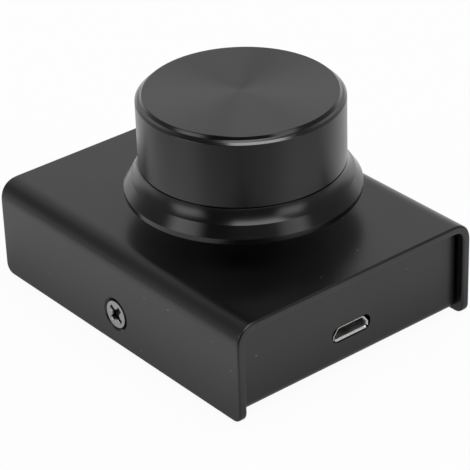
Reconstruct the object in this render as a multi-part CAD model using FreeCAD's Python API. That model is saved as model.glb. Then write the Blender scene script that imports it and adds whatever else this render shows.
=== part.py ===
"""Desk volume control: a turned knob on a rotary encoder, in a two-piece bent sheet case.

Units are millimetres. +Z is up, and the origin is on the desk below the middle of the case.
The socket end faces -Y and the case is longest along Y.
"""

import FreeCAD, Part

import math
import os

# Case cover: one sheet bent into a top plate with a flange down each side
case_width = 50.0
case_length = 64.0
cover_height = 17.8
cover_sheet = 1.5
cover_bend_radius = 1.8
cover_edge_round = 0.35
flange_corner_radius = 1.8

# Base tray: a floor with an end panel at each end and a tab at each side
tray_sheet = 1.2
tray_bend_radius = 0.4
tray_side_gap = 0.35
tray_rise = 0.6
panel_recess = 1.7
panel_head_gap = 0.3
tab_width = 12.0
tab_above_screw = 4.2
tab_relief = 0.8
collar_wall = 0.9
collar_length = 1.3

# Rubber feet
foot_height = 1.6
foot_radius = 4.0
foot_round = 0.4
foot_side_inset = 8.0
foot_end_inset = 11.0

# Countersunk side screws
screw_rise = 5.2
screw_radius = 1.5
screw_length = 4.6
screw_head_radius = 2.4
screw_rim = 0.25
screw_sink = 0.15
screw_fit = 0.03
screw_hole_gap = 0.2
screw_tip_chamfer = 0.4
cross_span = 3.3
cross_slot = 0.6
cross_core_radius = 0.9
cross_depth = 0.75
cross_turn = 33.0

# Knob
knob_y = -3.7
knob_gap = 4.65
knob_roof = 2.88
knob_radius = 17.3
step_width = 0.33
step_drop = 0.57
shoulder_width = 0.8
shoulder_drop = 0.49
flare_spread = 1.32
band_spread = 1.28
skirt_chamfer = 0.12
skirt_land_height = 1.0
skirt_band_height = 2.85
skirt_height = 5.1
flare_hollow = 0.22
foot_groove_width = 0.25
foot_groove_depth = 0.3
knob_wall = 3.3
knob_recess_depth = 5.0
recess_mouth_chamfer = 0.4

# Knob core: the plastic hub that grips the shaft
core_wall = 3.5
core_fit = 0.02
core_foot_gap = 0.9
core_roof = 0.8
core_bore_fit = 0.02
core_mouth_chamfer = 0.5

# Encoder, hung from the top plate by its bushing
bushing_wall = 0.16
bushing_length = 7.0
bushing_plate = 1.4
bushing_bore_fit = 0.04
bushing_hole_gap = 0.15
thread_pitch = 0.75
thread_depth = 0.3
encoder_side_wall = 0.55
encoder_end_wall = 0.7
bracket_sheet = 0.4
bracket_hole_gap = 0.4
bracket_leg_width = 5.0
lug_width = 2.4
lug_below_board = 1.0
rotor_case_floor = 0.4
switch_case_floor = 0.4

# Shaft and what turns with it
shaft_radius = 3.0
shaft_reach = 20.0
shaft_flat_length = 12.0
shaft_flat_depth = 1.5
shaft_tip_chamfer = 0.5
key_radius = 2.2
key_flat = 1.6
key_fit = 0.04
floor_hole_gap = 0.2
retainer_radius = 3.9
retainer_thickness = 0.5
retainer_gap = 0.03
retainer_fit = 0.02
retainer_opening = 1.6
rotor_radius = 5.1
rotor_thickness = 1.5
rotor_side_gap = 0.2
rotor_lift = 0.05
rotor_head_gap = 0.12
detent_count = 20
detent_depth = 0.2
detent_width = 0.5
detent_reach = 1.2

# Detent spring: a leaf ring with two bumps
spring_sheet = 0.15
spring_band = 0.85
spring_side_gap = 0.1
spring_gap = 0.02
bump_radius = 0.35
bump_clearance = 0.05

# Push switch under the shaft
push_travel = 0.5
plunger_radius = 2.6
plunger_height = 0.95
plunger_side_gap = 0.3
plunger_gap = 0.05
plunger_head_gap = 0.31
dome_side_gap = 0.5
dome_sheet = 0.1
dome_gap = 0.02
dome_flat_height = 0.1

# Encoder terminals
terminal_width = 0.9
terminal_sheet = 0.4
terminal_below_board = 1.9
signal_pitch = 2.5
signal_out = 1.4
switch_pitch = 5.0
switch_out = 1.0
terminal_height = 1.2

# Washer and nut on the bushing
washer_radius = 5.75
washer_thickness = 0.5
nut_across_flats = 10.0
nut_thickness = 2.0
nut_chamfer = 0.5
nut_fit = 0.03

# Circuit board
board_width = 24.0
board_front_gap = 0.35
board_rear_reach = 14.0
board_thickness = 1.6
board_corner_radius = 1.0
pin_hole_gap = 0.15

# Socket: a receptacle on the underside of the board, wide side down
socket_width = 7.5
socket_height = 2.5
socket_depth = 5.0
socket_shoulder_width = 1.0
socket_shoulder_height = 1.3
socket_shoulder_radius = 0.3
socket_foot_radius = 0.5
socket_wall = 0.25
socket_set_back = 0.1
socket_solder_gap = 0.05
cutout_side_margin = 0.4
cutout_height_margin = 0.2
cutout_corner_radius = 1.3
insulator_thickness = 1.2
insulator_fit = 0.02
tongue_width = 3.8
tongue_thickness = 0.6
tongue_length = 2.9
tongue_head_gap = 0.45
contact_count = 5
contact_pitch = 0.65
contact_width = 0.3
contact_thickness = 0.1
contact_end_gap = 0.25

# Parts on the underside of the board
part_solder_gap = 0.02
chip_width = 3.9
chip_height = 1.4
chip_lift = 0.15
chip_pitch = 1.27
chip_leads_per_side = 8
chip_end_margin = 0.3
lead_width = 0.42
lead_thickness = 0.2
lead_reach = 1.05
crystal_length = 5.0
crystal_width = 3.2
crystal_height = 1.1
crystal_gap = 1.2
crystal_corner_radius = 0.5
small_part_length = 1.6
small_part_width = 0.8
small_part_height = 0.8
small_part_pitch = 2.4
small_part_gap = 2.2
capacitor_rows = 3
resistor_rows = 4
resistor_height = 0.5

# One overrun carries every cut clear past its faces, and places nearer than this are the same
over = 1.0
same_place = 0.0001

# Levels and places that several pieces share
half_width = case_width / 2
half_length = case_length / 2
floor_under = foot_height
floor_top = floor_under + tray_sheet
flange_bottom = floor_under - tray_rise
plate_top = flange_bottom + cover_height
plate_under = plate_top - cover_sheet
flange_inner = half_width - cover_sheet
tray_half_width = flange_inner - tray_side_gap
panel_outer = half_length - panel_recess
panel_top = plate_under - panel_head_gap
screw_z = floor_under + screw_rise

# The encoder hangs from the top plate, so its levels are counted downwards
bushing_foot = plate_under
bushing_top = plate_under + bushing_length
bracket_top = bushing_foot - bushing_plate
bracket_under = bracket_top - bracket_sheet
retainer_top = bracket_top - retainer_gap
retainer_under = retainer_top - retainer_thickness
rotor_top = retainer_under - push_travel - rotor_head_gap
rotor_under = rotor_top - rotor_thickness
rotor_case_under = rotor_under - rotor_lift - rotor_case_floor
plunger_top = rotor_case_under - plunger_head_gap
plunger_under = plunger_top - plunger_height
dome_crown = plunger_under - dome_gap
dome_foot = dome_crown - push_travel - dome_flat_height
switch_case_under = dome_foot - dome_gap - switch_case_floor

board_top = switch_case_under
board_under = board_top - board_thickness
board_front = -panel_outer + tray_sheet + board_front_gap
board_rear = knob_y + board_rear_reach

# Radii and widths that follow from the pieces inside them
knob_step_radius = knob_radius - shoulder_width
knob_flat_radius = knob_step_radius - step_width
knob_recess_radius = knob_radius - knob_wall
skirt_edge_radius = knob_radius + flare_spread
skirt_radius = skirt_edge_radius + band_spread
core_radius = shaft_radius + core_wall
bushing_bore = shaft_radius + bushing_bore_fit
thread_root = bushing_bore + bushing_wall
bushing_radius = thread_root + thread_depth
bracket_hole_radius = retainer_radius + bracket_hole_gap
rotor_case_bore = rotor_radius + rotor_side_gap
spring_outer_radius = rotor_case_bore - spring_side_gap
spring_inner_radius = spring_outer_radius - spring_band
switch_case_bore = plunger_radius + plunger_side_gap
dome_radius = switch_case_bore - dome_side_gap
encoder_half_width = rotor_case_bore + encoder_side_wall
encoder_half_depth = rotor_case_bore + encoder_end_wall
signal_y = knob_y - encoder_half_depth - signal_out
switch_y = knob_y + encoder_half_depth + switch_out

shaft_tip = plunger_top + plunger_gap
shaft_top = plate_under + shaft_reach
core_bottom = bushing_top + core_foot_gap
core_pocket_top = shaft_top + core_roof + core_fit
knob_bottom = plate_top + knob_gap
knob_top = core_pocket_top + knob_roof
recess_roof = knob_bottom + knob_recess_depth

socket_top = board_under - socket_solder_gap
socket_bottom = socket_top - socket_height
socket_front = -panel_outer + socket_set_back
socket_rear = socket_front + socket_depth

chip_length = (chip_leads_per_side - 1) * chip_pitch + lead_width + 2 * chip_end_margin
chip_y = (socket_rear + signal_y) / 2
chip_top = board_under - chip_lift
chip_under = chip_top - chip_height


def vector(x, y, z):
    return FreeCAD.Vector(x, y, z)


def same(a, b):
    return abs(a - b) < same_place


def placed(u, v, plane, offset):
    """A point (u, v) of a flat outline, set in the plane named by its two axes."""
    if plane == "xz":
        return vector(u, offset, v)
    if plane == "yz":
        return vector(offset, u, v)
    return vector(u, v, offset)


def outline(corners, plane, offset):
    """A closed wire through corners (u, v, radius), each rounded by its own radius."""
    starts = []
    edges = []
    count = len(corners)
    for i in range(count):
        u, v, radius = corners[i]
        before = corners[i - 1]
        after = corners[(i + 1) % count]
        here = FreeCAD.Vector(u, v, 0)
        to_before = FreeCAD.Vector(before[0], before[1], 0) - here
        to_after = FreeCAD.Vector(after[0], after[1], 0) - here
        to_before.normalize()
        to_after.normalize()
        if radius <= 0:
            starts.append((here, here, None))
            continue
        half_turn = to_before.getAngle(to_after) / 2
        reach = radius / math.tan(half_turn)
        middle = to_before + to_after
        middle.normalize()
        crown = here + middle * (radius / math.sin(half_turn) - radius)
        starts.append((here + to_before * reach, here + to_after * reach, crown))
    for i in range(count):
        arrive, leave, crown = starts[i]
        next_arrive = starts[(i + 1) % count][0]
        points = [placed(p.x, p.y, plane, offset) for p in (arrive, leave, next_arrive)]
        if crown is not None:
            top = placed(crown.x, crown.y, plane, offset)
            edges.append(Part.Arc(points[0], top, points[1]).toShape())
        if not same(points[1].distanceToPoint(points[2]), 0):
            edges.append(Part.LineSegment(points[1], points[2]).toShape())
    return Part.Wire(edges)


def prism(corners, plane, start, length):
    """A rounded outline pushed from start along the axis square to its plane."""
    along = {"xz": vector(0, length, 0), "yz": vector(length, 0, 0), "xy": vector(0, 0, length)}
    return Part.Face(outline(corners, plane, start)).extrude(along[plane])


def rectangle(u0, u1, v0, v1, radius=0.0):
    return [(u0, v0, radius), (u1, v0, radius), (u1, v1, radius), (u0, v1, radius)]


def block(x0, x1, y0, y1, z0, z1):
    return Part.makeBox(x1 - x0, y1 - y0, z1 - z0, vector(x0, y0, z0))


def rod(radius, z0, z1, x=0.0, y=knob_y):
    return Part.makeCylinder(radius, z1 - z0, vector(x, y, z0))


def tube(outer, inner, z0, z1, x=0.0, y=knob_y):
    return rod(outer, z0, z1, x, y).cut(rod(inner, z0 - over, z1 + over, x, y))


def side_cone(radius_out, radius_in, x_out, x_in, z):
    """A cone lying along X at the middle of the case's length, from x_out inwards to x_in."""
    length = abs(x_in - x_out)
    way = vector(math.copysign(1, x_in - x_out), 0, 0)
    return Part.makeCone(radius_out, radius_in, length, vector(x_out, 0, z), way)


def side_rod(radius, x_out, x_in, z):
    way = vector(math.copysign(1, x_in - x_out), 0, 0)
    return Part.makeCylinder(radius, abs(x_in - x_out), vector(x_out, 0, z), way)


def spun(edges):
    """A solid of revolution about the knob's axis, from a closed chain of edges beside it."""
    face = Part.Face(Part.Wire(edges))
    return face.revolve(vector(0, knob_y, 0), vector(0, 0, 1), 360)


def at_radius(radius, z):
    return vector(radius, knob_y, z)


def run(points):
    """Straight edges through points (radius, z) of a turned profile."""
    places = [at_radius(r, z) for r, z in points]
    return [Part.LineSegment(a, b).toShape() for a, b in zip(places, places[1:])]


def bow(start, end, sag):
    """An arc from start to end whose middle lies sag to the right of the straight way."""
    du = end[0] - start[0]
    dv = end[1] - start[1]
    span = math.hypot(du, dv)
    middle_r = (start[0] + end[0]) / 2 + dv / span * sag
    middle_z = (start[1] + end[1]) / 2 - du / span * sag
    return [Part.Arc(at_radius(*start), at_radius(middle_r, middle_z), at_radius(*end)).toShape()]


def rounded(solid, radius, wanted):
    """The solid with the edges that wanted() picks rounded by radius."""
    edges = [edge for edge in solid.Edges if wanted(edge)]
    return solid.makeFillet(radius, edges)


def top_cover():
    """The bent cover, with a countersunk hole in each flange and the bushing's hole on top."""
    outer = cover_bend_radius + cover_sheet
    section = [
        (-half_width, flange_bottom, 0),
        (-half_width, plate_top, outer),
        (half_width, plate_top, outer),
        (half_width, flange_bottom, 0),
        (flange_inner, flange_bottom, 0),
        (flange_inner, plate_under, cover_bend_radius),
        (-flange_inner, plate_under, cover_bend_radius),
        (-flange_inner, flange_bottom, 0),
    ]
    cover = prism(section, "xz", -half_length, case_length)

    def free_corner(edge):
        box = edge.BoundBox
        return same(box.YLength, 0) and same(box.ZLength, 0) and same(box.ZMax, flange_bottom)

    cover = rounded(cover, flange_corner_radius, free_corner)

    def cut_face(face):
        """Whether a face is part of the sheet's cut rim: an end, a flange's foot or its corner."""
        if isinstance(face.Surface, Part.Cylinder):
            return face.Surface.Axis.x != 0
        return face.normalAt(0, 0).y != 0 or same(face.BoundBox.ZMax, flange_bottom)

    def rim(edge):
        """Whether an edge lies between the sheet's skin and its cut rim."""
        first, second = cover.ancestorsOfType(edge, Part.Face)
        return cut_face(first) != cut_face(second)

    cover = rounded(cover, cover_edge_round, rim)
    cover = cover.cut(rod(bushing_radius + bushing_hole_gap, plate_under - over, plate_top + over))
    mouth = screw_head_radius + screw_sink + screw_rim + screw_fit
    for side in (-1, 1):
        outside = side * (half_width + over)
        inside = side * (flange_inner - over)
        hole = side_rod(screw_radius + screw_hole_gap, outside, inside, screw_z)
        sink = side_cone(mouth + over, mouth - cover_sheet, outside, side * flange_inner, screw_z)
        cover = cover.cut(hole).cut(sink)
    return cover


def tray_tab(side):
    """One side tab, bent up from the floor, with a threaded collar drawn inwards."""
    outer = tray_bend_radius + tray_sheet
    face = side * tray_half_width
    inner = side * (tray_half_width - tray_sheet)
    root = side * (tray_half_width - outer)
    top = screw_z + tab_above_screw
    section = [
        (root, floor_under, 0),
        (face, floor_under, outer),
        (face, top, 0),
        (inner, top, 0),
        (inner, floor_top, tray_bend_radius),
        (root, floor_top, 0),
    ]
    tab = prism(section, "xz", -tab_width / 2, tab_width)
    collar_end = side * (tray_half_width - tray_sheet - collar_length)
    tab = tab.fuse(side_rod(screw_radius + collar_wall, inner, collar_end, screw_z))
    outside = face + side * over
    inside = collar_end - side * over
    return tab.cut(side_rod(screw_radius + screw_fit, outside, inside, screw_z))


def base_tray():
    """The bent tray: floor, two end panels, two side tabs and the socket's cut-out."""
    outer = tray_bend_radius + tray_sheet
    inner_end = panel_outer - tray_sheet
    section = [
        (-panel_outer, floor_under, outer),
        (panel_outer, floor_under, outer),
        (panel_outer, panel_top, 0),
        (inner_end, panel_top, 0),
        (inner_end, floor_top, tray_bend_radius),
        (-inner_end, floor_top, tray_bend_radius),
        (-inner_end, panel_top, 0),
        (-panel_outer, panel_top, 0),
    ]
    tray = prism(section, "yz", -tray_half_width, 2 * tray_half_width)

    def head_corner(edge):
        box = edge.BoundBox
        return same(box.XLength, 0) and same(box.ZLength, 0) and same(box.ZMax, panel_top)

    tray = rounded(tray, cover_bend_radius, head_corner)
    for side in (-1, 1):
        root = side * (tray_half_width - outer)
        edge = side * (tray_half_width + over)
        half = tab_width / 2 + tab_relief
        notch = block(min(root, edge), max(root, edge), -half, half, floor_under - over, floor_top + over)
        tray = tray.cut(notch).fuse(tray_tab(side))
    middle_z = (socket_top + socket_bottom) / 2
    reach_x = socket_width / 2 + cutout_side_margin
    reach_z = socket_height / 2 + cutout_height_margin
    window = rectangle(-reach_x, reach_x, middle_z - reach_z, middle_z + reach_z, cutout_corner_radius)
    return tray.cut(prism(window, "xz", -panel_outer - over, tray_sheet + 2 * over)).removeSplitter()


def cross_recess(side, face):
    """The cross-shaped driver recess, square to a screw head whose top lies at x = face."""
    ends = (face + side * over, face - side * cross_depth)
    reach = cross_span / 2
    half = cross_slot / 2
    arms = side_rod(cross_core_radius, ends[0], ends[1], screw_z)
    for turn in (cross_turn, cross_turn + 90):
        arm = block(min(ends), max(ends), -reach, reach, screw_z - half, screw_z + half)
        arm.rotate(vector(0, 0, screw_z), vector(1, 0, 0), turn)
        arms = arms.fuse(arm)
    return arms


def cover_screws():
    """The two countersunk screws, one in each flange."""
    screws = []
    for side in (-1, 1):
        face = side * (half_width - screw_sink)
        rim_end = face - side * screw_rim
        cone_end = rim_end - side * (screw_head_radius - screw_radius)
        tip = cone_end - side * screw_length
        shank_end = tip + side * screw_tip_chamfer
        screw = side_rod(screw_head_radius, face, rim_end, screw_z)
        screw = screw.fuse(side_cone(screw_head_radius, screw_radius, rim_end, cone_end, screw_z))
        screw = screw.fuse(side_rod(screw_radius, cone_end, shank_end, screw_z))
        tip_radius = screw_radius - screw_tip_chamfer
        screw = screw.fuse(side_cone(screw_radius, tip_radius, shank_end, tip, screw_z))
        screws.append(screw.cut(cross_recess(side, face)).removeSplitter())
    return Part.makeCompound(screws)


def rubber_feet():
    """Four round feet under the floor of the tray."""
    feet = []
    for side in (-1, 1):
        for end in (-1, 1):
            x = side * (half_width - foot_side_inset)
            y = end * (half_length - foot_end_inset)
            foot = rod(foot_radius, floor_under - foot_height, floor_under, x, y)
            lower = [e for e in foot.Edges if same(e.BoundBox.ZMax, floor_under - foot_height)]
            feet.append(foot.makeFillet(foot_round, lower))
    return Part.makeCompound(feet)


def knob_shell():
    """The turned metal knob: flat top, step and shoulder, straight wall, groove, flared skirt."""
    step_foot = knob_top - step_drop
    wall_top = step_foot - shoulder_drop
    groove_low = knob_bottom + skirt_height
    groove_top = groove_low + foot_groove_width
    groove_radius = knob_radius - foot_groove_depth
    pocket = core_radius + core_fit
    flare_head = (knob_radius, groove_low)
    band_head = (skirt_edge_radius, knob_bottom + skirt_band_height)
    land_head = (skirt_radius, knob_bottom + skirt_land_height)
    land_foot = (skirt_radius, knob_bottom + skirt_chamfer)
    mouth = (knob_recess_radius + recess_mouth_chamfer, knob_bottom)
    mouth_top = (knob_recess_radius, knob_bottom + recess_mouth_chamfer)
    edges = run([(0, core_pocket_top), (0, knob_top), (knob_flat_radius, knob_top)])
    edges += run([(knob_flat_radius, knob_top), (knob_step_radius, step_foot), (knob_radius, wall_top)])
    edges += run([(knob_radius, wall_top), (knob_radius, groove_top), (groove_radius, groove_top)])
    edges += run([(groove_radius, groove_top), (groove_radius, groove_low), flare_head])
    edges += bow(flare_head, band_head, flare_hollow)
    edges += run([band_head, land_head, land_foot, (skirt_radius - skirt_chamfer, knob_bottom), mouth])
    edges += run([mouth, mouth_top, (knob_recess_radius, recess_roof), (pocket, recess_roof)])
    edges += run([(pocket, recess_roof), (pocket, core_pocket_top), (0, core_pocket_top)])
    return spun(edges)


def knob_core():
    """The plastic hub pressed into the knob, with a flatted bore for the shaft."""
    core = rod(core_radius, core_bottom, core_pocket_top - core_fit)
    bore_radius = shaft_radius + core_bore_fit
    side = bore_radius + over
    flat = knob_y + shaft_radius - shaft_flat_depth + core_bore_fit
    bore = rod(bore_radius, core_bottom - over, shaft_top + core_bore_fit)
    bore = bore.cut(block(-side, side, flat, knob_y + side, shaft_top - shaft_flat_length, shaft_top + over))
    mouth_radius = bore_radius + core_mouth_chamfer
    mouth = Part.makeCone(mouth_radius, bore_radius, core_mouth_chamfer, vector(0, knob_y, core_bottom))
    return core.cut(bore).cut(mouth)


def keyed(radius, flat, z0, z1):
    """A bar about the knob's axis with two flats, each at distance flat from the axis."""
    side = radius + over
    bar = rod(radius, z0, z1)
    for near, far in ((flat, side), (-side, -flat)):
        bar = bar.cut(block(-side, side, knob_y + near, knob_y + far, z0 - over, z1 + over))
    return bar


def encoder_shaft():
    """The metal shaft: flatted top, round run in the bushing, retainer neck and keyed tail."""
    flat_foot = shaft_top - shaft_flat_length
    cone_foot = shaft_top - shaft_tip_chamfer
    tip_radius = shaft_radius - shaft_tip_chamfer
    tip = Part.makeCone(shaft_radius, tip_radius, shaft_tip_chamfer, vector(0, knob_y, cone_foot))
    bar = rod(shaft_radius, retainer_top, cone_foot).fuse(tip)
    side = shaft_radius + over
    flat = knob_y + shaft_radius - shaft_flat_depth
    bar = bar.cut(block(-side, side, flat, knob_y + side, flat_foot, shaft_top + over))
    tail = keyed(key_radius, key_flat, shaft_tip, retainer_top)
    return bar.fuse(tail).removeSplitter()


def shaft_retainer():
    """The open ring on the shaft's neck that stops the shaft from lifting out."""
    low = retainer_under - over
    high = retainer_top + over
    half = retainer_opening / 2
    ring = rod(retainer_radius, retainer_under, retainer_top)
    ring = ring.cut(keyed(key_radius + retainer_fit, key_flat + retainer_fit, low, high))
    return ring.cut(block(0, retainer_radius + over, knob_y - half, knob_y + half, low, high))


def encoder_rotor():
    """The contact disc, slotted for the keyed tail, with detent notches round its top face."""
    rotor = rod(rotor_radius, rotor_under, rotor_top)
    slot = keyed(key_radius + key_fit, key_flat + key_fit, rotor_under - over, rotor_top + over)
    rotor = rotor.cut(slot)
    half = detent_width / 2
    inside = rotor_radius - detent_reach
    outside = rotor_radius + over
    floor = rotor_top - detent_depth
    for i in range(detent_count):
        notch = block(inside, outside, knob_y - half, knob_y + half, floor, rotor_top + over)
        notch.rotate(vector(0, knob_y, 0), vector(0, 0, 1), 360 * i / detent_count)
        rotor = rotor.cut(notch)
    return rotor


def detent_spring():
    """The leaf ring under the bracket, with two bumps that reach towards the notches."""
    top = bracket_under - spring_gap
    low = top - spring_sheet
    ring = tube(spring_outer_radius, spring_inner_radius, low, top)
    middle = (spring_outer_radius + spring_inner_radius) / 2
    for side in (-1, 1):
        ring = ring.fuse(rod(bump_radius, rotor_top + bump_clearance, low, side * middle, knob_y))
    return ring.removeSplitter()


def encoder_square(z0, z1):
    front = knob_y - encoder_half_depth
    rear = knob_y + encoder_half_depth
    return block(-encoder_half_width, encoder_half_width, front, rear, z0, z1)


def rotor_case():
    """The moulded case round the rotor, open at the top, with a hole for the shaft's tail."""
    case = encoder_square(rotor_case_under, bracket_under)
    floor = rotor_case_under + rotor_case_floor
    case = case.cut(rod(rotor_case_bore, floor, bracket_under + over))
    return case.cut(rod(key_radius + floor_hole_gap, rotor_case_under - over, floor + over))


def switch_case():
    """The moulded case below the rotor, a cup for the dome and the plunger."""
    case = encoder_square(switch_case_under, rotor_case_under)
    floor = switch_case_under + switch_case_floor
    return case.cut(rod(switch_case_bore, floor, rotor_case_under + over))


def switch_plunger():
    """The small moulded button between the shaft and the dome."""
    plunger = rod(plunger_radius, plunger_under, plunger_top)
    upper = [e for e in plunger.Edges if same(e.BoundBox.ZMin, plunger_top)]
    return plunger.makeChamfer(plunger_gap, upper)


def switch_dome():
    """The snap dome: a shallow cap of sheet whose crown just clears the plunger."""
    rise = dome_crown - dome_foot
    outer = (dome_radius ** 2 + rise ** 2) / (2 * rise)
    centre = dome_crown - outer
    ball = Part.makeSphere(outer, vector(0, knob_y, centre))
    hollow = Part.makeSphere(outer - dome_sheet, vector(0, knob_y, centre))
    keep = rod(dome_radius + over, dome_foot, dome_crown + over)
    return ball.cut(hollow).common(keep)


def encoder_bushing():
    """The cast bushing: a square plate below the sheet and a threaded neck through it."""
    plate = encoder_square(bracket_top, bushing_foot)
    turns = int((bushing_length - thread_pitch) / thread_pitch)
    thread_foot = bushing_top - turns * thread_pitch
    points = [(bushing_bore, bracket_top), (bushing_radius, bracket_top), (bushing_radius, thread_foot)]
    for i in range(turns):
        low = thread_foot + i * thread_pitch
        points.append((thread_root, low + thread_pitch / 2))
        points.append((bushing_radius, low + thread_pitch))
    points[-1] = (thread_root + thread_depth / 2, bushing_top)
    points.append((bushing_bore, bushing_top))
    points.append(points[0])
    neck = spun(run(points))
    plate = plate.cut(rod(bushing_bore, bracket_top - over, bushing_foot + over))
    return plate.fuse(neck).removeSplitter()


def encoder_bracket():
    """The sheet bracket: a top under the bushing's plate and a leg with a lug down each side."""
    inner_x = encoder_half_width + spring_gap
    outer_x = inner_x + bracket_sheet
    front = knob_y - encoder_half_depth
    rear = knob_y + encoder_half_depth
    top = block(-outer_x, outer_x, front, rear, bracket_under, bracket_top)
    bracket = top.cut(rod(bracket_hole_radius, bracket_under - over, bracket_top + over))
    for side in (-1, 1):
        x0 = min(side * inner_x, side * outer_x)
        x1 = max(side * inner_x, side * outer_x)
        for width, foot in ((bracket_leg_width, board_top), (lug_width, board_under - lug_below_board)):
            leg = block(x0, x1, knob_y - width / 2, knob_y + width / 2, foot, bracket_top)
            bracket = bracket.fuse(leg)
    return bracket.removeSplitter()


def terminal_places():
    """Where the terminals pass through the board: three signal pins and two switch pins."""
    signals = [(step * signal_pitch, signal_y, -1) for step in (-1, 0, 1)]
    switches = [(step * switch_pitch / 2, switch_y, 1) for step in (-1, 1)]
    return signals + switches


def encoder_terminals():
    """The five bent pins, each leaving the switch case's side and turning down."""
    pins = []
    half = terminal_width / 2
    level = board_top + terminal_height
    wall = encoder_half_depth + spring_gap
    for x, y, way in terminal_places():
        root = knob_y + way * wall
        far = y + way * terminal_sheet / 2
        near = y - way * terminal_sheet / 2
        foot = board_under - terminal_below_board
        arm = block(x - half, x + half, min(root, far), max(root, far), level - terminal_sheet, level)
        leg = block(x - half, x + half, min(near, far), max(near, far), foot, level)
        pins.append(arm.fuse(leg).removeSplitter())
    return Part.makeCompound(pins)


def mounting_washer():
    return tube(washer_radius, bushing_radius + nut_fit, plate_top, plate_top + washer_thickness)


def mounting_nut():
    """The thin hexagon nut that clamps the encoder to the top plate."""
    low = plate_top + washer_thickness
    high = low + nut_thickness
    corner = nut_across_flats / math.sqrt(3)
    turns = [math.radians(60 * i) for i in range(7)]
    points = [vector(corner * math.cos(t), knob_y + corner * math.sin(t), low) for t in turns]
    nut = Part.Face(Part.makePolygon(points)).extrude(vector(0, 0, nut_thickness))
    shoulder = rod(corner, low, high - nut_chamfer)
    crown = Part.makeCone(corner, corner - nut_chamfer, nut_chamfer, vector(0, knob_y, high - nut_chamfer))
    nut = nut.common(shoulder.fuse(crown))
    return nut.cut(rod(bushing_radius + nut_fit, low - over, high + over))


def circuit_board():
    """The board below the encoder, with holes for its pins and slots for the bracket's lugs."""
    half = board_width / 2
    plan = rectangle(-half, half, board_front, board_rear, board_corner_radius)
    board = prism(plan, "xy", board_under, board_thickness)
    hole = math.hypot(terminal_width, terminal_sheet) / 2 + pin_hole_gap
    for x, y, way in terminal_places():
        board = board.cut(rod(hole, board_under - over, board_top + over, x, y))
    near = encoder_half_width + spring_gap - pin_hole_gap
    far = encoder_half_width + spring_gap + bracket_sheet + pin_hole_gap
    front = knob_y - lug_width / 2 - pin_hole_gap
    rear = knob_y + lug_width / 2 + pin_hole_gap
    for side in (-1, 1):
        x0 = min(side * near, side * far)
        x1 = max(side * near, side * far)
        board = board.cut(block(x0, x1, front, rear, board_under - over, board_top + over))
    return board


def socket_section(inset):
    """The socket's outline, wide side down, drawn in by inset all round."""
    half = socket_width / 2 - inset
    top = socket_top - inset
    low = socket_bottom + inset
    shoulder = half - socket_shoulder_width
    shoulder_z = top - socket_shoulder_height + inset
    foot = socket_foot_radius - inset
    soft = socket_shoulder_radius
    return [
        (-half, low, foot),
        (half, low, foot),
        (half, shoulder_z, soft),
        (shoulder, top, soft),
        (-shoulder, top, soft),
        (-half, shoulder_z, soft),
    ]


def usb_shell():
    """The formed metal shell of the socket, open at both ends."""
    shell = prism(socket_section(0), "xz", socket_front, socket_depth)
    return shell.cut(prism(socket_section(socket_wall), "xz", socket_front - over, socket_depth + 2 * over))


def usb_insulator():
    """The moulded insert: a plug that fills the back of the shell and a flat tongue."""
    start = socket_rear - insulator_thickness
    plug = prism(socket_section(socket_wall + insulator_fit), "xz", start, insulator_thickness)
    top = socket_top - socket_wall - tongue_head_gap
    half = tongue_width / 2
    tongue = block(-half, half, start - tongue_length, start, top - tongue_thickness, top)
    return plug.fuse(tongue).removeSplitter()


def usb_contacts():
    """The contact strips on the underside of the tongue."""
    start = socket_rear - insulator_thickness
    low = socket_top - socket_wall - tongue_head_gap - tongue_thickness
    strips = []
    for i in range(contact_count):
        x = (i - (contact_count - 1) / 2) * contact_pitch
        half = contact_width / 2
        front = start - tongue_length + contact_end_gap
        strips.append(block(x - half, x + half, front, start, low - contact_thickness, low))
    return Part.makeCompound(strips)


def controller_chip():
    """The controller's moulded body, long side across the board."""
    half_x = chip_length / 2
    half_y = chip_width / 2
    chip = block(-half_x, half_x, chip_y - half_y, chip_y + half_y, chip_under, chip_top)
    lower = [e for e in chip.Edges if same(e.BoundBox.ZMax, chip_under)]
    return chip.makeChamfer(chip_lift, lower)


def chip_leads():
    """The formed leads down both long sides of the chip."""
    middle = (chip_top + chip_under) / 2
    top = board_under - part_solder_gap
    leads = []
    for side in (-1, 1):
        body = chip_y + side * chip_width / 2
        knee = body + side * lead_reach / 2
        toe = body + side * lead_reach
        heel = knee - side * lead_thickness
        section = [
            (body, middle, 0),
            (knee, middle, 0),
            (knee, top - lead_thickness, 0),
            (toe, top - lead_thickness, 0),
            (toe, top, 0),
            (heel, top, 0),
            (heel, middle + lead_thickness, 0),
            (body, middle + lead_thickness, 0),
        ]
        for i in range(chip_leads_per_side):
            x = (i - (chip_leads_per_side - 1) / 2) * chip_pitch
            leads.append(prism(section, "yz", x - lead_width / 2, lead_width))
    return Part.makeCompound(leads)


def crystal_can():
    """The oscillator can beside the chip."""
    top = board_under - part_solder_gap
    near = chip_length / 2 + crystal_gap
    half_y = crystal_length / 2
    plan = rectangle(near, near + crystal_width, chip_y - half_y, chip_y + half_y, crystal_corner_radius)
    return prism(plan, "xy", top - crystal_height, crystal_height)


def small_parts(side, rows, height):
    """A column of small two-ended parts beside the encoder, under the board."""
    top = board_under - part_solder_gap
    half_x = small_part_length / 2
    half_y = small_part_width / 2
    x = side * (encoder_half_width + small_part_gap + half_x)
    parts = []
    for i in range(rows):
        y = knob_y + (i - (rows - 1) / 2) * small_part_pitch
        parts.append(block(x - half_x, x + half_x, y - half_y, y + half_y, top - height, top))
    return Part.makeCompound(parts)


def chip_capacitors():
    return small_parts(1, capacitor_rows, small_part_height)


def chip_resistors():
    return small_parts(-1, resistor_rows, resistor_height)


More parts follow.
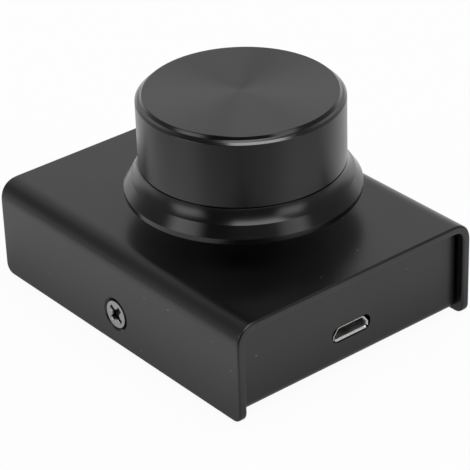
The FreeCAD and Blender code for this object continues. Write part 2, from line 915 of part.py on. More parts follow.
makers = [
    top_cover,
    base_tray,
    cover_screws,
    rubber_feet,
    knob_shell,
    knob_core,
    encoder_shaft,
    shaft_retainer,
    encoder_rotor,
    detent_spring,
    rotor_case,
    switch_case,
    switch_plunger,
    switch_dome,
    encoder_bushing,
    encoder_bracket,
    encoder_terminals,
    mounting_washer,
    mounting_nut,
    circuit_board,
    usb_shell,
    usb_insulator,
    usb_contacts,
    controller_chip,
    chip_leads,
    crystal_can,
    chip_capacitors,
    chip_resistors,
]

os.makedirs("parts", exist_ok=True)
for maker in makers:
    shape = maker()
    name = maker.__name__
    shape.exportStep("parts/" + name + ".step")
    print(name, len(shape.Solids), "solids, valid", shape.isValid(), "volume", round(shape.Volume, 2))
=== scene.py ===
"""The looks of a desk volume control: a turned black knob on a bent-sheet case.

Sizes are millimetres until a mesh is filled, and model.glb gives the places of the pieces.
"""

import math

import bmesh
import bpy
import numpy as np
from mathutils import Matrix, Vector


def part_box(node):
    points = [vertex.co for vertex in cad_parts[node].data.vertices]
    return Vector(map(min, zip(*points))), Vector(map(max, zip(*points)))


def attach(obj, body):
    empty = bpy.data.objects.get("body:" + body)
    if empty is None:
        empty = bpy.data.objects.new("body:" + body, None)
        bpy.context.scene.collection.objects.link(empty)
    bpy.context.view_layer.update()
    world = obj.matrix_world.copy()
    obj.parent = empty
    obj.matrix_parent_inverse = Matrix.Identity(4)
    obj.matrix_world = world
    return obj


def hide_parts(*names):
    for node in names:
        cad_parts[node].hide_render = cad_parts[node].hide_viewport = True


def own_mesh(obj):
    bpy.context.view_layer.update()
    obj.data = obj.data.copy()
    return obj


MM = 0.001
CM = 0.01

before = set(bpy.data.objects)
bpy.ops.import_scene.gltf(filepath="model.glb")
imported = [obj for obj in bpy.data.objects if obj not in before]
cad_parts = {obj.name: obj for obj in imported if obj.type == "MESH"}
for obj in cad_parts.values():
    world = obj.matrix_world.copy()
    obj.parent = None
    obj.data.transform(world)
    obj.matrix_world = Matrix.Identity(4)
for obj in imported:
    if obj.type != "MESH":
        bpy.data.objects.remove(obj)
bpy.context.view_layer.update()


# Places read from model.glb, in millimetres
def span(node):
    """Lowest and highest corner of a node."""
    low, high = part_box(node)
    return np.array(low) / MM, np.array(high) / MM


cover_low, cover_high = span("top_cover")
tray_low, tray_high = span("base_tray")
knob_low, knob_high = span("knob_shell")
socket_low, socket_high = span("usb_shell")
screw_low, screw_high = span("cover_screws")
feet_low, feet_high = span("rubber_feet")
dome_low, dome_high = span("switch_dome")
knob_y = (knob_low[1] + knob_high[1]) / 2
screw_z = (screw_low[2] + screw_high[2]) / 2

# Sheet work
cover_sheet = 1.5
cover_bend_reach = 4.1
cover_edge = 0.35
cover_corner = 1.8
tray_sheet = 1.2
tray_bend = 1.6
tray_edge = 0.12
tray_corner = 1.8
tab_width = 12.0
tab_relief = 0.8
tab_top = 11.0
tab_corner = 0.6
collar_radius = 2.4
collar_bore = 1.53
collar_length = 1.3
bushing_hole = 3.65

# Knob
knob_radius = 17.3
step_width = 0.33
step_drop = 0.57
shoulder_width = 0.8
shoulder_drop = 0.49
shoulder_crown = 0.06
band_edge = 18.62
land_height = 1.0
band_height = 2.85
skirt_height = 5.1
flare_hollow = 0.22
foot_groove_width = 0.25
foot_groove_depth = 0.3
recess_radius = 14.0
recess_depth = 5.0
recess_chamfer = 0.4
pocket_radius = 6.52
pocket_roof = 2.88
fine_edge = 0.04
rim_round = 0.1
flat_round = 0.16
wall_round = 0.12
skirt_round = 0.12

# Screws
screw_rim = 0.25
screw_head = 2.4
screw_shank = 1.5
screw_tip = 0.4
screw_sink = 0.03
countersink_mouth = 3.05
clearance_hole = 1.7
cross_turn = 40.0
cross_half_span = 1.8
cross_half_slot = 0.49
cross_depth = 0.75
cross_wall = 0.14
cross_core = 1.0
cross_end_slope = 0.6

# Socket
socket_wall = 0.3
socket_lip = 0.12
socket_flare = 0.32
socket_shoulder_width = 1.0
socket_shoulder_height = 1.3
socket_top_round = 0.3
socket_foot_round = 0.5
corner_slit = 0.42
corner_slit_depth = 0.5
window_side = 0.4
window_height = 0.2
window_round = 1.3

# Feet
foot_radius = 4.0
foot_round = 0.4
foot_side = 17.0
foot_end = 21.0

# Snap dome of the switch
dome_sheet = 0.1

# Loops this close to a rounded edge hold the flats beside it flat
hold = 0.06

# How far a cutter reaches past what it cuts
over = 1.0

# Points closer than this on the line of a sheet, or in a mesh, become one
same_on_line = 0.004
same_in_mesh = 0.001

# Steps along roundings and flats
edge_steps = 4
corner_steps = 6
flare_steps = 12
crown_steps = 2
cover_bend_steps = 16
tray_bend_steps = 10
window_steps = 8
dome_steps = 16
screw_face_steps = 39
flat_columns = 5

# Points round what is turned
knob_around = 256
screw_around = 144
dome_around = 96
countersink_around = 96
foot_around = 64
hole_around = 64

# Edges over this angle, in degrees, stay sharp in the shading
sharp_angle = 40.0
knob_sharp_angle = 35.0
socket_sharp_angle = 60.0
cut_sharp_angle = 30.0

# Texture map round a turned piece, and the depth of the screws' recess, which carries its painted shade
turning_map = "turning"
recess_shade_layer = "recess"

# Finishes: linear colours, then how far the roughness of turned metal swings, how deep its grooves are,
# and the shares that darken worn metal and lighten clouded mouldings
anodised_black = (0.003, 0.003, 0.0032)
sheet_dark = (0.0022, 0.0022, 0.0023)
sheet_dust = (0.2, 0.2, 0.19)
turned_dark = (0.0021, 0.0021, 0.0022)
turned_light = (0.0027, 0.0027, 0.0028)
turned_dust = (0.12, 0.12, 0.12)
# Painted shade in the screws' cross recess
recess_painted_shade = (0.02, 0.02, 0.02)
mask_green = (0.008, 0.07, 0.025)
mask_over_copper = (0.02, 0.15, 0.05)
paper_white = (0.82, 0.82, 0.82)
turning_swing = 0.012
groove_depth = 0.0002
metal_wear = 0.85
moulding_glow = 1.25

# Places of the factor, the two colours and the result among a Mix node's sockets
mix_factor = 0
mix_first = 6
mix_second = 7
mix_colour = 2

# Camera, as the photograph was taken: degrees, pixels and millimetres, and a clip range in metres
photo_width = 470
camera_azimuth = -38.66
camera_elevation = 30.212
camera_roll = -1.945
focal_pixels = 2359.617
aim_pixel = (233.307, 290.899)
aim_distance = 405.712
aim_point = np.array([0.0, 0.0, cover_low[2]])
sensor_width = 36.0
clip_range = (0.01, 20)

# Light. Angles are in degrees: a change goes from the first to the second, and a box has two ends and
# a soft rim. The width of the box overhead is given as the share of a direction that points to the right.
backdrop_level = 0.7
backdrop_top = (60.0, 40.0)
backdrop_side = (112.0, 146.0)
side_level = 0.3
horizon = (18.0, 0.0)
horizon_level = 1.4
ceiling_level = 0.07
camera_side = (40.0, 75.0)
overhead_across = (-0.11, 0.42, 0.08)
overhead_lean = (-9.0, 36.0, 7.0)
overhead_level = 3.4
side_box_rise = (14.0, 30.0, 13.0)
side_boxes = (((-69.0, -53.0, 15.0), 2.1), ((43.0, 56.0, 14.0), 2.0))

# Floor, in millimetres from the middle: where a change starts and ends, and its levels there. The changes
# paint the floor as the metal mirrors it: painted dimming towards the camera and far to the sides, and
# painted contact shade close to the case
floor_front_painted_dim = (50.0, 90.0, 1.0, 0.18)
floor_side = (72.0, 120.0, 0.0, 0.7)
floor_side_from = (-50.0, -10.0)
floor_painted_contact_shade = (0.0, 16.0, 0.55, 1.0)
floor_share = 0.95
floor_glossy_share = 0.85
floor_reach = 6000.0


# Mesh building
def rows_of(*columns):
    """Columns laid side by side. A column may be one number for all rows."""
    return np.stack(np.broadcast_arrays(*columns), -1)


def full_turn(around):
    """Angles evenly spaced once round."""
    return np.linspace(0, 2 * math.pi, around, endpoint=False)


def fill_piece(name, points, faces):
    """A mesh object from points in millimetres."""
    mesh = bpy.data.meshes.new(name)
    mesh.from_pydata((np.asarray(points) * MM).tolist(), [], [list(f) for f in faces])
    piece = bpy.data.objects.new(name, mesh)
    bpy.context.scene.collection.objects.link(piece)
    return piece


def read_points(piece):
    """A piece's points in millimetres."""
    points = np.empty(len(piece.data.vertices) * 3)
    piece.data.vertices.foreach_get("co", points)
    return points.reshape(-1, 3) / MM


def write_points(piece, points):
    """Puts points in millimetres back into a piece."""
    piece.data.vertices.foreach_set("co", (points * MM).ravel().astype(np.float32))
    piece.data.update()


def smooth_over(mesh, angle):
    """Shades a mesh smooth, but for edges over an angle."""
    mesh.shade_smooth()
    mesh.set_sharp_from_angle(angle=math.radians(angle))


def face_outwards(piece, sharp_over=sharp_angle):
    """Merges doubled points, turns the faces outwards and marks edges over an angle as sharp."""
    work = bmesh.new()
    work.from_mesh(piece.data)
    bmesh.ops.remove_doubles(work, verts=work.verts, dist=same_in_mesh * MM)
    bmesh.ops.recalc_face_normals(work, faces=work.faces)
    work.to_mesh(piece.data)
    work.free()
    smooth_over(piece.data, sharp_over)
    return piece


def grid_faces(rows, columns, wrap_rows=False, wrap_columns=False, start=0):
    """Quads of a grid of points numbered row by row, joined round where asked."""
    i = np.arange(rows if wrap_rows else rows - 1)
    j = np.arange(columns if wrap_columns else columns - 1)
    i, j = np.meshgrid(i, j, indexing="ij")
    row = i * columns
    below = (i + 1) % rows * columns
    right = (j + 1) % columns
    return rows_of(row + j, below + j, below + right, row + right).reshape(-1, 4) + start


def soften(corners, steps):
    """A polyline through corners (u, v, radius), each inner one an arc tangent to both its runs."""
    corners = np.array(corners, float)
    points, radii = corners[:, :2], corners[:, 2]
    made = [points[:1]]
    for before, here, after, radius in zip(points, points[1:], points[2:], radii[1:]):
        if radius <= 0:
            made.append(here[None])
            continue
        back = (before - here) / np.linalg.norm(before - here)
        on = (after - here) / np.linalg.norm(after - here)
        half = math.acos(np.clip(back @ on, -1, 1)) / 2
        middle = (back + on) / np.linalg.norm(back + on)
        centre = here + middle * radius / math.sin(half)
        first = here + back * radius / math.tan(half) - centre
        last = here + on * radius / math.tan(half) - centre
        share = np.linspace(0, 1, steps + 1)[:, None]
        sweep = math.pi - 2 * half
        arc = (np.sin((1 - share) * sweep) * first + np.sin(share * sweep) * last) / math.sin(sweep)
        made.append(centre + arc)
    made.append(points[-1:])
    return np.vstack(made)


def eased_bends(corners, reach, steps, parts=20):
    """A polyline whose inner corners start to bend at a reach, slowly first and tightest in the middle.

    The direction has turned by turn * (3 u^2 - 2 u^3) at the share u of a bend's length. The bend's
    points are the running sum of that direction over small parts of each step, scaled so that both
    ends lie at the reach.
    """
    corners = np.asarray(corners, float)
    made = [corners[:1]]
    u = (np.arange(steps * parts) + 0.5) / (steps * parts)
    for before, here, after in zip(corners, corners[1:], corners[2:]):
        way = (here - before) / np.linalg.norm(here - before)
        on = (after - here) / np.linalg.norm(after - here)
        turn = math.atan2(way[0] * on[1] - way[1] * on[0], way @ on)
        angle = turn * (3 * u**2 - 2 * u**3)
        aside = np.array([-way[1], way[0]])
        step = np.cos(angle)[:, None] * way + np.sin(angle)[:, None] * aside
        line = np.vstack([[0, 0], np.cumsum(step, axis=0)])[::parts]
        line *= 2 * reach * math.cos(turn / 2) / np.linalg.norm(line[-1])
        made.append(here - reach * way + line)
    made.append(corners[-1:])
    return np.vstack(made)


def soften_closed(corners, steps):
    """A closed outline through corners (u, v, radius), each rounded by its own radius."""
    return soften([corners[-1], *corners, corners[0]], steps)[1:-1]


def rounded_ends(arc, first, last):
    """An arc's points as corners (u, v, radius), with a rounding at its first and its last."""
    return [(*arc[0], first), *[(*p, 0) for p in arc[1:-1]], (*arc[-1], last)]


def bow(start, end, sag, steps):
    """Points of an arc from start to end, its middle lying sag to the right of the straight way."""
    start, end = np.asarray(start, float), np.asarray(end, float)
    chord = end - start
    span_length = np.linalg.norm(chord)
    right = np.array([chord[1], -chord[0]]) / span_length
    radius = (span_length**2 / 4 + sag**2) / (2 * abs(sag))
    half = math.asin(span_length / 2 / radius)
    angle = np.linspace(-half, half, steps + 1)[:, None]
    bulge = (np.cos(angle) - math.cos(half)) * radius * np.sign(sag)
    return (start + end) / 2 + chord / span_length * np.sin(angle) * radius + right * bulge


def with_holds(path, reach=hold, closed=False):
    """The path with a point at the reach from each end of every run over four times as long."""
    follow = np.vstack([path, path[:1]]) if closed else path
    made = []
    for a, b in zip(follow, follow[1:]):
        made.append(a)
        length = np.linalg.norm(b - a)
        if length > 4 * reach:
            made.append(a + (b - a) * reach / length)
            made.append(b - (b - a) * reach / length)
    if not closed:
        made.append(follow[-1])
    return np.array(made)


def turned(name, profile, around, centre=(0.0, knob_y)):
    """A body of revolution: x = r cos(t), y = r sin(t), z kept, for each profile point (r, z).

    The profile starts and ends on the axis, where each end closes to a single pole. Its texture
    map runs along the profile in one direction and round the axis in the other.
    """
    turn = full_turn(around)
    r, z = profile[1:-1, 0, None], profile[1:-1, 1, None]
    rows = len(r)
    body = rows_of(centre[0] + r * np.cos(turn), centre[1] + r * np.sin(turn), z)
    poles = [[*centre, profile[0, 1]], [*centre, profile[-1, 1]]]
    points = np.vstack([body.reshape(-1, 3), poles])
    quads = grid_faces(rows, around, wrap_columns=True)
    j = np.arange(around)
    k = (j + 1) % around
    pole, last_row = rows * around, (rows - 1) * around
    first_cap = rows_of(pole, j, k)
    last_cap = rows_of(pole + 1, last_row + k, last_row + j)
    piece = fill_piece(name, points, [*quads, *first_cap, *last_cap])
    map_along(piece, profile, rows, around)
    return piece


def map_along(piece, profile, rows, around):
    """Texture map of a turned body: u is the length along the profile in centimetres, v is the turn."""
    step = np.linalg.norm(np.diff(profile, axis=0), axis=1)
    length = np.concatenate([[0], np.cumsum(step)]) * MM / CM
    i, j = np.meshgrid(np.arange(rows - 1), np.arange(around), indexing="ij")
    u = [rows_of(length[i + 1], length[i + 2], length[i + 2], length[i + 1])]
    v = [rows_of(j, j, j + 1, j + 1)]
    j = np.arange(around)
    u.append(np.tile([length[0], length[1], length[1]], around))
    v.append(rows_of(j + 0.5, j, j + 1))
    u.append(np.tile([length[-1], length[-2], length[-2]], around))
    v.append(rows_of(j + 0.5, j + 1, j))
    u, v = (np.concatenate([part.ravel() for part in parts]) for parts in (u, v))
    layer = piece.data.uv_layers.new(name=turning_map)
    layer.data.foreach_set("uv", rows_of(u, v / around).ravel().astype(np.float32))


def bent_path(path):
    """Outer line of a bent sheet, with its running length and the normals to its right."""
    path = with_holds(path)
    moved = np.linalg.norm(np.diff(path, axis=0), axis=1) > same_on_line
    path = path[np.concatenate([[True], moved])]
    step = np.diff(path, axis=0)
    size = np.linalg.norm(step, axis=1)
    way = step / size[:, None]
    before = np.vstack([way[:1], way])
    after = np.vstack([way, way[-1:]])
    mean = before + after
    mean /= np.linalg.norm(mean, axis=1)[:, None]
    return path, np.concatenate([[0], np.cumsum(size)]), rows_of(mean[:, 1], -mean[:, 0])


def bent_sheet(name, path, half, sheet, corner, edge, place, side=1):
    """A bent sheet of even thickness whose cut rim and corners are rounded.

    The sheet is laid out flat as a rectangle of running length by width with rounded corners.
    Rings of the same outline, drawn in by an offset, carry a depth below the outer skin: a quarter
    circle, the rim, and a quarter circle again. Each flat point (s, w, depth) then goes to the bent
    line's point at s, moved inwards by depth along the line's normal, and across by w. The side is
    1 where that normal already points inwards, and -1 where it has to be turned.
    """
    path, length, normal = bent_path(path)
    total = length[-1]
    inside = length[(length > corner) & (length < total - corner)]
    s = np.unique(np.concatenate([[corner, total - corner], inside]))
    w = np.linspace(corner - half, half - corner, flat_columns)
    quarter = np.linspace(0, math.pi / 2, edge_steps + 1)
    offset = edge * (1 - np.sin(quarter))
    depth = edge * (1 - np.cos(quarter))
    flat = [[corner, 0.0], [edge + hold, 0.0]]
    flat += rows_of(offset, depth).tolist()
    flat += [[0.0, edge + hold], [0.0, sheet - edge - hold]]
    flat += rows_of(offset, sheet - depth)[::-1].tolist()
    flat += [[edge + hold, sheet], [corner, sheet]]
    turn = np.linspace(0, math.pi / 2, corner_steps + 1)[1:-1]
    start, finish, reach = corner, total - corner, half - corner
    rings = []
    for inset, level in flat:
        r = corner - inset
        sine, cosine = r * np.sin(turn), r * np.cos(turn)
        ring = [rows_of(s, -reach - r), rows_of(finish + sine, -reach - cosine)]
        ring += [rows_of(finish + r, w), rows_of(finish + cosine, reach + sine)]
        ring += [rows_of(s, reach + r)[::-1], rows_of(start - sine, reach + cosine)]
        ring += [rows_of(start - r, w)[::-1], rows_of(start - cosine, -reach - sine)]
        ring = np.vstack(ring)
        rings.append(np.column_stack([ring, np.full(len(ring), level)]))
    count = len(rings[0])
    points = [np.vstack(rings)]
    faces = [grid_faces(len(flat), count, wrap_columns=True)]
    for level in (0.0, sheet):
        done = sum(len(p) for p in points)
        middle_s, middle_w = np.meshgrid(s, w, indexing="ij")
        points.append(rows_of(middle_s, middle_w, level).reshape(-1, 3))
        faces.append(grid_faces(len(s), len(w), start=done))
    points = np.vstack(points)
    line = rows_of(*[np.interp(points[:, 0], length, values) for values in path.T])
    inward = rows_of(*[np.interp(points[:, 0], length, side * values) for values in normal.T])
    inward /= np.linalg.norm(inward, axis=1)[:, None]
    line = line + inward * points[:, 2:3]
    points = place(line[:, 0], line[:, 1], points[:, 1])
    piece = fill_piece(name, points, [f for part in faces for f in part])
    return face_outwards(piece)


def across_x(u, v, w):
    """A section in the XZ plane, carried along Y."""
    return rows_of(u, w, v)


def across_y(u, v, w):
    """A section in the YZ plane, carried along X."""
    return rows_of(w, u, v)


def across_z(u, v, w):
    """A section in the XY plane, carried along Z."""
    return rows_of(u, v, w)


def prism(name, outline, start, end, place):
    """A plain cutter: a closed outline carried from start to end."""
    count = len(outline)
    ends = [place(outline[:, 0], outline[:, 1], w) for w in (start, end)]
    faces = [*grid_faces(2, count, wrap_columns=True), range(count), range(count, 2 * count)]
    return face_outwards(fill_piece(name, np.vstack(ends), faces))


def box_outline(u, v):
    """A rectangle between two values each way, its u values in either order."""
    (a, b), (low, high) = sorted(u), v
    return np.array([(a, low), (b, low), (b, high), (a, high)])


def cut(piece, cutters):
    """Cuts each cutter out of the piece and leaves the piece's mesh as the result."""
    for cutter in cutters:
        change = piece.modifiers.new("cut", "BOOLEAN")
        change.operation = "DIFFERENCE"
        change.solver = "EXACT"
        change.object = cutter
    graph = bpy.context.evaluated_depsgraph_get()
    result = bpy.data.meshes.new_from_object(piece.evaluated_get(graph))
    piece.modifiers.clear()
    piece.data = result
    for cutter in cutters:
        bpy.data.objects.remove(cutter)
    result.name = piece.name
    smooth_over(result, cut_sharp_angle)
    return piece


def joined(name, parts):
    """One piece from several closed shells."""
    work = bmesh.new()
    for part in parts:
        work.from_mesh(part.data)
    mesh = bpy.data.meshes.new(name)
    work.to_mesh(mesh)
    work.free()
    for part in parts:
        bpy.data.objects.remove(part)
    piece = bpy.data.objects.new(name, mesh)
    bpy.context.scene.collection.objects.link(piece)
    smooth_over(mesh, sharp_angle)
    return piece


# Pieces
def knob_profile():
    """Half section of the knob as (radius, height), from the middle of its top round to its pocket."""
    top, bottom = knob_high[2], knob_low[2]
    step = knob_radius - shoulder_width
    groove = knob_radius - foot_groove_depth
    groove_low = bottom + skirt_height
    groove_high = groove_low + foot_groove_width
    skirt = (knob_high[0] - knob_low[0]) / 2
    flare = bow((knob_radius, groove_low), (band_edge, bottom + band_height), flare_hollow, flare_steps)
    shoulder_top = top - step_drop
    shoulder_low = shoulder_top - shoulder_drop
    shoulder = bow((step, shoulder_top), (knob_radius, shoulder_low), -shoulder_crown, crown_steps)
    recess_top = bottom + recess_depth
    pocket_top = top - pocket_roof
    corners = [(0, top, 0), (step - step_width, top, flat_round)]
    corners += rounded_ends(shoulder, rim_round, wall_round)
    corners += [(knob_radius, groove_high, fine_edge), (groove, groove_high, 0), (groove, groove_low, 0)]
    corners += rounded_ends(flare, fine_edge, rim_round)
    corners += [(skirt, bottom + land_height, rim_round), (skirt, bottom, skirt_round)]
    corners += [(recess_radius + recess_chamfer, bottom, fine_edge)]
    corners += [(recess_radius, bottom + recess_chamfer, fine_edge), (recess_radius, recess_top, 0)]
    corners += [(pocket_radius, recess_top, 0), (pocket_radius, pocket_top, 0), (0, pocket_top, 0)]
    return with_holds(soften(corners, edge_steps), reach=hold / 2)


def knob(turned_metal, skirt_metal, rim_metal, flare_metal):
    """The turned knob: fine turning on its top and wall, and three kinds of cut below and between.

    The shoulder has a bright cut, the flare a satin one, and everything else a fine one.
    """
    piece = face_outwards(turned("turned_knob", knob_profile(), knob_around), knob_sharp_angle)
    mesh = piece.data
    for finish in (turned_metal, skirt_metal, rim_metal, flare_metal):
        mesh.materials.append(finish)
    centres = np.empty(len(mesh.polygons) * 3)
    mesh.polygons.foreach_get("center", centres)
    centres = centres.reshape(-1, 3) / MM
    radius = np.hypot(centres[:, 0], centres[:, 1] - knob_y)
    height = centres[:, 2]
    step = knob_radius - shoulder_width
    step_foot = knob_high[2] - step_drop
    wall_high = step_foot - shoulder_drop
    wall_low = knob_low[2] + skirt_height + foot_groove_width
    on_top = (radius < step - step_width) & (height > knob_high[2] - rim_round / 2)
    on_wall = (radius > knob_radius - fine_edge) & (height > wall_low) & (height < wall_high)
    on_shoulder = (radius > step) & (height > wall_high) & (height < step_foot)
    on_flare = (radius > knob_radius) & (height > knob_low[2] + band_height) & (height < wall_low)
    # The numbers are the finishes' places among the mesh's materials
    kind = np.select([on_top | on_wall, on_shoulder, on_flare], [0, 2, 3], 1)
    mesh.polygons.foreach_set("material_index", kind.astype(np.int32))
    return piece


def screw_hole_cutters():
    """For each flange, a countersink cone and a clearance hole, turned about Z and laid along X."""
    cutters = []
    outer = cover_high[0]
    depth = countersink_mouth - clearance_hole
    profile = [(0, over), (countersink_mouth + over, over), (clearance_hole, -depth)]
    profile += [(clearance_hole, -cover_sheet - over), (0, -cover_sheet - over)]
    for way in (-1, 1):
        cutter = turned("cutter", np.array(profile), countersink_around, centre=(0.0, 0.0))
        x, y, z = read_points(cutter).T
        write_points(cutter, rows_of(way * (outer + z), y, screw_z + x))
        cutters.append(face_outwards(cutter))
    return cutters


def cover():
    """The top cover, its bends eased, with its countersunk holes and the hole for the bushing."""
    right, top, low = cover_high[0], cover_high[2], cover_low[2]
    corners = [(-right, low), (-right, top), (right, top), (right, low)]
    path = eased_bends(corners, cover_bend_reach, cover_bend_steps)
    piece = bent_sheet("bent_cover", path, cover_high[1], cover_sheet, cover_corner, cover_edge, across_x)
    turn = full_turn(hole_around)
    hole = rows_of(bushing_hole * np.cos(turn), knob_y + bushing_hole * np.sin(turn))
    bore = prism("cutter", hole, top - cover_sheet - over, top + over, across_z)
    return cut(piece, [*screw_hole_cutters(), bore])


def tray():
    """The bent tray: floor and end panels in one, side tabs with drawn collars, the socket's window."""
    end, low, top = tray_high[1], tray_low[2], tray_high[2]
    half = tray_high[0]
    corners = [(u, v, tray_bend) for u, v in ((-end, top), (-end, low), (end, low), (end, top))]
    path = soften(corners, tray_bend_steps)
    body = bent_sheet("tray_body", path, half, tray_sheet, tray_corner, tray_edge, across_y, side=-1)
    middle = (socket_low[2] + socket_high[2]) / 2
    reach = socket_high[0] + window_side
    rise = (socket_high[2] - socket_low[2]) / 2 + window_height
    corners = box_outline((-reach, reach), (middle - rise, middle + rise))
    window = soften_closed([(*c, window_round) for c in corners], window_steps)
    cutters = [prism("cutter", window, -end - over, -end + tray_sheet + over, across_x)]
    root = half - tray_bend
    relief = tab_width / 2 + tab_relief
    for way in (-1, 1):
        notch = box_outline((way * root, way * (half + over)), (low - over, low + tray_sheet + over))
        cutters.append(prism("cutter", notch, -relief, relief, across_x))
    tabs = [part for way in (-1, 1) for part in tab(way, root, half, low)]
    return joined("bent_tray", [cut(body, cutters), *tabs])


def tab(way, root, half, low):
    """One side tab of the tray and the threaded collar drawn inwards from it.

    The collar is a rectangle turned round the screw: y = r cos(t), z = r sin(t) about its axis.
    """
    corners = [(u, v, tray_bend) for u, v in ((way * root, low), (way * half, low), (way * half, tab_top))]
    path = soften(corners, tray_bend_steps)
    strip = bent_sheet("tab", path, tab_width / 2, tray_sheet, tab_corner, tray_edge, across_x, side=-way)
    ring = box_outline((collar_bore, collar_radius), (0, collar_length))
    turn = full_turn(hole_around)
    r, along = ring[:, 0, None], ring[:, 1, None]
    x = way * (half - tray_sheet - along)
    points = rows_of(x, r * np.cos(turn), screw_z + r * np.sin(turn)).reshape(-1, 3)
    faces = grid_faces(len(ring), hole_around, wrap_rows=True, wrap_columns=True)
    collar = fill_piece("collar", points, faces)
    return [strip, face_outwards(collar)]


def screws():
    """Both side screws: a turned body whose flat face carries a cross recess.

    The face's depth at a point is the recess depth times the largest of two arms and a round core,
    each of them a smooth step, 3 t^2 - 2 t^3, from 0 at its rim to 1 inside its slanted wall.
    """
    face = cover_high[0] - screw_sink
    tip = face - screw_inner_end()
    line = [*rows_of(np.linspace(0, screw_head, screw_face_steps + 1), 0.0), (screw_head, screw_rim)]
    line += [(screw_shank, screw_rim + screw_head - screw_shank), (screw_shank, tip - screw_tip)]
    line += [(screw_shank - screw_tip, tip), (0, tip)]
    made = []
    for way in (-1, 1):
        piece = turned("screw", np.array(line), screw_around, centre=(0.0, 0.0))
        u, v, along = read_points(piece).T
        share = np.where(along < screw_rim / 2, cross_shape(u, v), 0)
        # The recess share is kept on the points for the painted shade in the recess
        shade = piece.data.attributes.new(recess_shade_layer, "FLOAT", "POINT")
        shade.data.foreach_set("value", share.astype(np.float32))
        write_points(piece, rows_of(way * (face - along - share * cross_depth), v, screw_z + u))
        made.append(face_outwards(piece))
    return joined("side_screws", made)


def screw_inner_end():
    """How far out from the middle the screws' tips lie."""
    return np.abs(read_points(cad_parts["cover_screws"])[:, 0]).min()


def cross_shape(u, v):
    """1 inside the cross recess and 0 outside, with slanted walls, gentler at the ends and the core."""
    turn = math.radians(cross_turn)
    a = np.abs(v * math.cos(turn) + u * math.sin(turn))
    b = np.abs(u * math.cos(turn) - v * math.sin(turn))

    def step(room):
        t = np.clip(room / cross_wall, 0, 1)
        return t * t * (3 - 2 * t)

    arm_one = step(cross_half_slot - b) * step((cross_half_span - a) * cross_end_slope)
    arm_two = step(cross_half_slot - a) * step((cross_half_span - b) * cross_end_slope)
    core = step((cross_core - np.hypot(a, b)) * cross_end_slope)
    return np.maximum(np.maximum(arm_one, arm_two), core)


def socket_shell():
    """The formed shell of the socket: its outline, drawn in by the wall, with a rounded lip in front.

    The outline has its wide side down and slanted upper corners. Each ring is the outline moved
    inwards along its normals by an offset and set at a depth behind the mouth. The lip is slit open
    at both lower corners, where the sheet's flaps were folded.
    """
    half, low, high = socket_high[0], socket_low[2], socket_high[2]
    shoulder = half - socket_shoulder_width
    shoulder_z = high - socket_shoulder_height
    corners = [(-half, low, socket_foot_round), (half, low, socket_foot_round)]
    corners += [(half, shoulder_z, socket_top_round), (shoulder, high, socket_top_round)]
    corners += [(-shoulder, high, socket_top_round), (-half, shoulder_z, socket_top_round)]
    outline = with_holds(soften_closed(corners, corner_steps), closed=True)
    ahead = np.roll(outline, -1, axis=0) - outline
    ahead /= np.linalg.norm(ahead, axis=1)[:, None]
    way = ahead + np.roll(ahead, 1, axis=0)
    way /= np.linalg.norm(way, axis=1)[:, None]
    inward = rows_of(-way[:, 1], way[:, 0])
    front, rear = socket_low[1], socket_high[1]
    lip = [(0, front, socket_lip / 2), (socket_lip, front, socket_lip / 2)]
    lip += [(socket_wall, front + socket_flare, socket_lip / 2), (socket_wall, rear, 0), (0, rear, 0)]
    section = with_holds(soften_closed(lip, edge_steps), reach=hold / 3, closed=True)
    rings = outline[None] + inward[None] * section[:, 0, None, None]
    points = rows_of(rings[..., 0], section[:, 1, None], rings[..., 1]).reshape(-1, 3)
    faces = grid_faces(len(section), len(outline), wrap_rows=True, wrap_columns=True)
    shell = face_outwards(fill_piece("socket_shell", points, faces), socket_sharp_angle)
    slits = []
    for way in (-1, 1):
        aside = way * (half - corner_slit), way * (half + over)
        slit = box_outline(aside, (low - over, low + corner_slit))
        slits.append(prism("cutter", slit, front - over, front + corner_slit_depth, across_x))
    return cut(shell, slits)


def feet():
    """Four round rubber feet with a soft lower edge."""
    low, high = feet_low[2], feet_high[2]
    corners = [(0, high, 0), (foot_radius, high, 0), (foot_radius, low, foot_round), (0, low, 0)]
    profile = with_holds(soften(corners, corner_steps))
    made = []
    for x in (-foot_side, foot_side):
        for y in (-foot_end, foot_end):
            made.append(face_outwards(turned("foot", profile, foot_around, centre=(x, y))))
    return joined("feet", made)


def snap_dome():
    """The switch's snap dome: a shallow cap of sheet between two arcs about one centre.

    The outer arc's radius is (r^2 + h^2) / 2h for a foot of radius r and a rise of h.
    """
    low, high = dome_low[2], dome_high[2]
    foot = (dome_high[0] - dome_low[0]) / 2
    rise = high - low
    outer = (foot**2 + rise**2) / (2 * rise)
    inner = outer - dome_sheet
    centre = high - outer
    upper = np.linspace(0, math.asin(foot / outer), dome_steps + 1)
    under = np.linspace(math.acos((low - centre) / inner), 0, dome_steps + 1)
    line = [rows_of(outer * np.sin(upper), centre + outer * np.cos(upper))]
    line.append(rows_of(inner * np.sin(under), centre + inner * np.cos(under)))
    return face_outwards(turned("snap_dome", np.vstack(line), dome_around))


# Finishes
def feed(tree, node, values):
    """Gives a node its inputs by name or number: an output is linked, and a plain value is set."""
    for socket, value in values.items():
        if isinstance(value, bpy.types.NodeSocket):
            tree.links.new(value, node.inputs[socket])
        else:
            node.inputs[socket].default_value = value
    return node


def new_finish(name, colour, roughness, metallic=0.0, ior=1.5):
    """A material with its plain values set on the shader, and the object's own coordinates ready."""
    material = bpy.data.materials.new(name)
    material.use_nodes = True
    tree = material.node_tree
    shader = tree.nodes["Principled BSDF"]
    plain = {"Base Color": (*colour, 1), "Roughness": roughness, "Metallic": metallic, "IOR": ior}
    feed(tree, shader, plain)
    place = tree.nodes.new("ShaderNodeTexCoord").outputs["Object"]
    return material, tree, shader, place


def noise(tree, place, scale, detail=2.0):
    """Soft random values at a scale in bumps per metre."""
    node = tree.nodes.new("ShaderNodeTexNoise")
    return feed(tree, node, {"Vector": place, "Scale": scale, "Detail": detail}).outputs["Fac"]


